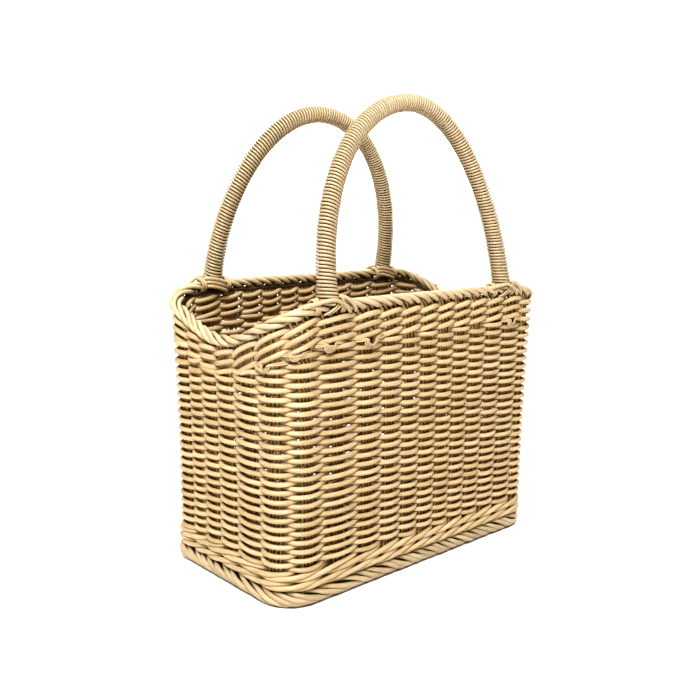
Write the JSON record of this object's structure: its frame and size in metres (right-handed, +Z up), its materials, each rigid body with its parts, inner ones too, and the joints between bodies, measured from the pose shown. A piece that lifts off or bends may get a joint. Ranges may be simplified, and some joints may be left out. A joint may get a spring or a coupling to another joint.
{
  "type": "woven basket",
  "caption": "Tall rectangular woven cane basket, open at the top, with a rolled rim that dips at the ends and a pair of wrapped arched handles.",
  "frame": {"origin": "centre of the footprint on the surface the basket stands on", "axes": "+Z up, +X along the basket's length, -Y towards the front"},
  "size_m": [0.296, 0.1616, 0.366],
  "materials": {
    "weaver_cane": "satin round cane with fine lengthwise streaks",
    "wale_cane": "satin round cane with fine lengthwise streaks",
    "border_cane": "satin round cane, pale on top",
    "rod_cane": "satin thin cane rod",
    "wrap_cane": "satin thin round cane, closely wound",
    "binding_cane": "satin thin cane binding"
  },
  "bodies": {
    "root": {"base_border": "border_cane", "base_sticks": "rod_cane", "base_wale_1": "wale_cane", "base_wale_2": "wale_cane", "base_weave": "weaver_cane", "handle_core_back": "rod_cane", "handle_core_front": "rod_cane", "handle_lashing_back_left": "binding_cane", "handle_lashing_back_right": "binding_cane", "handle_lashing_front_left": "binding_cane", "handle_lashing_front_right": "binding_cane", "handle_wrap_back": "wrap_cane", "handle_wrap_front": "wrap_cane", "rim_inner_roll": "border_cane", "rim_outer_roll": "border_cane", "stakes_back": "rod_cane", "stakes_front": "rod_cane", "stakes_left": "rod_cane", "stakes_right": "rod_cane", "tie_loops_back": "binding_cane", "tie_loops_front": "binding_cane", "top_wale_1": "wale_cane", "top_wale_2": "wale_cane", "top_wale_3": "wale_cane", "weave_round_01": "weaver_cane", "weave_round_02": "weaver_cane", "weave_round_03": "weaver_cane", "weave_round_04": "weaver_cane", "weave_round_05": "weaver_cane", "weave_round_06": "weaver_cane", "weave_round_07": "weaver_cane", "weave_round_08": "weaver_cane", "weave_round_09": "weaver_cane", "weave_round_10": "weaver_cane", "weave_round_11": "weaver_cane", "weave_round_12": "weaver_cane", "weave_round_13": "weaver_cane", "weave_round_14": "weaver_cane", "weave_round_15": "weaver_cane", "weave_round_16": "weaver_cane", "weave_round_17": "weaver_cane", "weave_round_18": "weaver_cane", "weave_round_19": "weaver_cane", "weave_round_20": "weaver_cane", "weave_upper_back": "weaver_cane", "weave_upper_front": "weaver_cane"}
  },
  "joints": []
}
